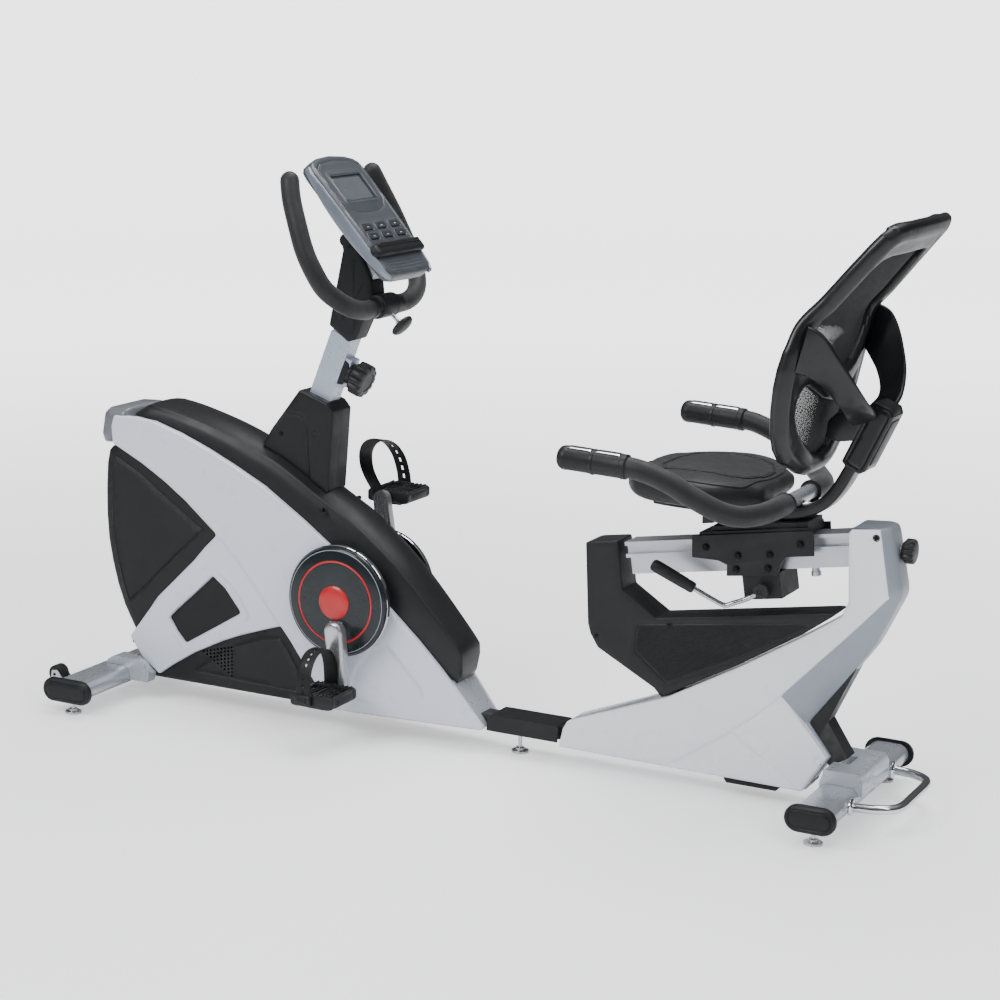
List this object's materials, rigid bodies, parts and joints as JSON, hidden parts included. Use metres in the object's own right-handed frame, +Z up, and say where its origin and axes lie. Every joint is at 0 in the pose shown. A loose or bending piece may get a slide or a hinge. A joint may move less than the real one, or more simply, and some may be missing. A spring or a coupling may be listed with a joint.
{
  "type": "recumbent exercise bike",
  "caption": "Recumbent exercise bike with a padded seat and mesh back sliding on a rail, pedal crank in a moulded casing, and a console with a curved handlebar on a leaning mast.",
  "frame": {"origin": "on the floor, in the middle plane, at the bottom centre of the middle levelling foot", "axes": "+X to the rear (seat end), -Y to the rider's left, +Z up"},
  "size_m": [1.7696, 0.6198, 1.1502],
  "materials": {
    "black_steel": "satin powder coat",
    "silver_steel": "silver metallic lacquer",
    "silver_plastic": "silver moulded plastic",
    "white_shell": "pale silver-white lacquered plastic",
    "black_shell": "fine-textured black plastic",
    "chrome": "polished",
    "aluminium": "brushed, clear anodised",
    "bearing_steel": "ground",
    "belt_rubber": "ribbed",
    "motor": "moulded",
    "screw_black": "black oxide",
    "disc_black": "dark glossy cover with a red ring and a chrome rim",
    "pedal_black": "moulded nylon with a rubber strap",
    "cast_iron": "turned",
    "vinyl": "soft black seat cover",
    "foam": "closed-cell foam",
    "mesh": "open knitted mesh",
    "nylon": "acetal",
    "lever": "black grip",
    "console_grey": "grey-blue satin plastic",
    "lcd": "dark display window",
    "button_rubber": "soft touch",
    "knob_black": "moulded",
    "wheel_rubber": "solid tread",
    "foot_steel": "zinc plated"
  },
  "bodies": {
    "frame": {"main_frame": "black_steel", "front_stabiliser": "silver_steel", "rear_stabiliser": "silver_steel", "stabiliser_caps": "black_shell", "stabiliser_covers": "silver_plastic", "rear_handle": "chrome", "left_casing": "white_shell", "right_casing": "white_shell", "fan_panels": "black_shell", "top_cover": "black_shell", "mast_boot": "black_shell", "beam_cover": "black_shell", "left_rear_shell": "white_shell", "right_rear_shell": "white_shell", "inner_housing": "black_shell", "rail": "aluminium", "mast_post": "silver_steel", "drive_belt": "belt_rubber", "crank_bearings": "bearing_steel", "brake_unit": "motor", "casing_screws": "screw_black"},
    "crank": {"crank_axle": "bearing_steel", "drive_pulley": "aluminium", "crank_discs": "disc_black", "crank_arms": "bearing_steel"},
    "left_pedal": {"left_pedal": "pedal_black"},
    "right_pedal": {"right_pedal": "pedal_black"},
    "flywheel": {"flywheel": "cast_iron"},
    "idler": {"idler_pulley": "bearing_steel"},
    "magnet_arm": {"magnet_arm": "black_steel"},
    "seat": {"carriage": "black_steel", "seat_post": "black_steel", "seat_cushion": "vinyl", "seat_handles": "foam", "back_frame": "black_shell", "back_mesh": "mesh", "back_bracket": "black_shell"},
    "front_rollers": {"front_rollers": "nylon"},
    "rear_rollers": {"rear_rollers": "nylon"},
    "seat_lever": {"seat_lever": "lever"},
    "mast": {"mast_tube": "chrome", "mast_head": "black_shell"},
    "handlebar": {"handlebar": "foam"},
    "console": {"console": "console_grey", "console_screen": "lcd"},
    "mode_button": {"mode_button": "button_rubber"},
    "up_button": {"up_button": "button_rubber"},
    "recovery_button": {"recovery_button": "button_rubber"},
    "start_button": {"start_button": "button_rubber"},
    "down_button": {"down_button": "button_rubber"},
    "reset_button": {"reset_button": "button_rubber"},
    "clamp_knob": {"clamp_knob": "knob_black"},
    "mast_knob": {"mast_knob": "knob_black"},
    "rail_knob": {"rail_knob": "knob_black"},
    "transport_wheels": {"transport_wheels": "wheel_rubber"},
    "front_left_foot": {"front_left_foot": "foot_steel"},
    "front_right_foot": {"front_right_foot": "foot_steel"},
    "rear_left_foot": {"rear_left_foot": "foot_steel"},
    "rear_right_foot": {"rear_right_foot": "foot_steel"},
    "centre_foot": {"centre_foot": "foot_steel"}
  },
  "joints": [
    {"name": "crank_spin", "type": "hinge", "parent": "frame", "child": "crank", "pos_m": [-0.361, 0, 0.278], "axis": [0, 1, 0], "continuous": true},
    {"name": "left_pedal_spin", "type": "hinge", "parent": "crank", "child": "left_pedal", "pos_m": [-0.33982, -0.188, 0.10933], "axis": [0, 1, 0], "continuous": true},
    {"name": "right_pedal_spin", "type": "hinge", "parent": "crank", "child": "right_pedal", "pos_m": [-0.38218, 0.188, 0.44667], "axis": [0, 1, 0], "continuous": true},
    {"name": "flywheel_spin", "type": "hinge", "parent": "frame", "child": "flywheel", "pos_m": [-0.745, 0, 0.33], "axis": [0, 1, 0], "continuous": true},
    {"name": "idler_spin", "type": "hinge", "parent": "frame", "child": "idler", "pos_m": [-0.53019, -0.042, 0.2168], "axis": [0, 1, 0], "continuous": true},
    {"name": "magnet_arm_swing", "type": "hinge", "parent": "frame", "child": "magnet_arm", "pos_m": [-0.8318, 0, 0.2266], "axis": [0, -1, 0], "range_deg": [0, 6], "stiffness_Nm_per_rad": 4, "springref_deg": -28.65},
    {"name": "seat_slide", "type": "slide", "parent": "frame", "child": "seat", "axis": [0.9877, 0, 0.1564], "range_m": [-0.135, 0.042], "stiffness_N_per_m": 600, "springref_m": 0.05},
    {"name": "front_roller_spin", "type": "hinge", "parent": "seat", "child": "front_rollers", "pos_m": [0.38435, 0, 0.46597], "axis": [0, 1, 0], "range_deg": [-1000, 320]},
    {"name": "rear_roller_spin", "type": "hinge", "parent": "seat", "child": "rear_rollers", "pos_m": [0.57235, 0, 0.49574], "axis": [0, 1, 0], "range_deg": [-1000, 320]},
    {"name": "seat_lever_lift", "type": "hinge", "parent": "seat", "child": "seat_lever", "pos_m": [0.501, -0.06, 0.404], "axis": [0, 1, 0], "range_deg": [0, 18], "stiffness_Nm_per_rad": 2, "springref_deg": -17.19},
    {"name": "mast_slide", "type": "slide", "parent": "frame", "child": "mast", "axis": [0.3584, 0, 0.9336], "range_m": [0, 0.09]},
    {"name": "handlebar_tilt", "type": "hinge", "parent": "mast", "child": "handlebar", "pos_m": [-0.318, 0, 0.86], "axis": [0, 1, 0], "range_deg": [-12, 12], "stiffness_Nm_per_rad": 25, "springref_deg": 1.15},
    {"name": "console_tilt", "type": "hinge", "parent": "mast", "child": "console", "pos_m": [-0.388, 0, 0.986], "axis": [0, 1, 0], "range_deg": [-10, 10], "stiffness_Nm_per_rad": 16, "springref_deg": -2.29},
    {"name": "mode_button_press", "type": "slide", "parent": "console", "child": "mode_button", "axis": [-0.7501, 0, -0.6613], "range_m": [0, 0.002], "stiffness_N_per_m": 400, "springref_m": -0.001},
    {"name": "up_button_press", "type": "slide", "parent": "console", "child": "up_button", "axis": [-0.7501, 0, -0.6613], "range_m": [0, 0.002], "stiffness_N_per_m": 400, "springref_m": -0.001},
    {"name": "recovery_button_press", "type": "slide", "parent": "console", "child": "recovery_button", "axis": [-0.7501, 0, -0.6613], "range_m": [0, 0.002], "stiffness_N_per_m": 400, "springref_m": -0.001},
    {"name": "start_button_press", "type": "slide", "parent": "console", "child": "start_button", "axis": [-0.7501, 0, -0.6613], "range_m": [0, 0.002], "stiffness_N_per_m": 400, "springref_m": -0.001},
    {"name": "down_button_press", "type": "slide", "parent": "console", "child": "down_button", "axis": [-0.7501, 0, -0.6613], "range_m": [0, 0.002], "stiffness_N_per_m": 400, "springref_m": -0.001},
    {"name": "reset_button_press", "type": "slide", "parent": "console", "child": "reset_button", "axis": [-0.7501, 0, -0.6613], "range_m": [0, 0.002], "stiffness_N_per_m": 400, "springref_m": -0.001},
    {"name": "clamp_knob_turn", "type": "hinge", "parent": "mast", "child": "clamp_knob", "pos_m": [-0.27272, 0, 0.82064], "axis": [0.7547, 0, -0.6561], "range_deg": [0, 540]},
    {"name": "mast_knob_turn", "type": "hinge", "parent": "frame", "child": "mast_knob", "pos_m": [-0.37958, 0, 0.71476], "axis": [0.9336, 0, -0.3584], "range_deg": [0, 720]},
    {"name": "rail_knob_turn", "type": "hinge", "parent": "frame", "child": "rail_knob", "pos_m": [0.75, 0, 0.497], "axis": [1, 0, 0], "range_deg": [0, 720]},
    {"name": "transport_wheel_spin", "type": "hinge", "parent": "frame", "child": "transport_wheels", "pos_m": [-0.958, 0, 0.072], "axis": [0, 1, 0], "continuous": true},
    {"name": "front_left_foot_screw", "type": "slide", "parent": "frame", "child": "front_left_foot", "axis": [0, 0, -1], "range_m": [0, 0.012]},
    {"name": "front_right_foot_screw", "type": "slide", "parent": "frame", "child": "front_right_foot", "axis": [0, 0, -1], "range_m": [0, 0.012]},
    {"name": "rear_left_foot_screw", "type": "slide", "parent": "frame", "child": "rear_left_foot", "axis": [0, 0, -1], "range_m": [0, 0.012]},
    {"name": "rear_right_foot_screw", "type": "slide", "parent": "frame", "child": "rear_right_foot", "axis": [0, 0, -1], "range_m": [0, 0.012]},
    {"name": "centre_foot_screw", "type": "slide", "parent": "frame", "child": "centre_foot", "axis": [0, 0, -1], "range_m": [0, 0.012]}
  ],
  "couplings": [
    {"joint": "flywheel_spin", "follows": "crank_spin", "ratio": 5},
    {"joint": "idler_spin", "follows": "crank_spin", "ratio": -6.3333},
    {"joint": "front_roller_spin", "follows": "seat_slide", "rad_per_m": 128.21},
    {"joint": "rear_roller_spin", "follows": "seat_slide", "rad_per_m": 128.21}
  ]
}
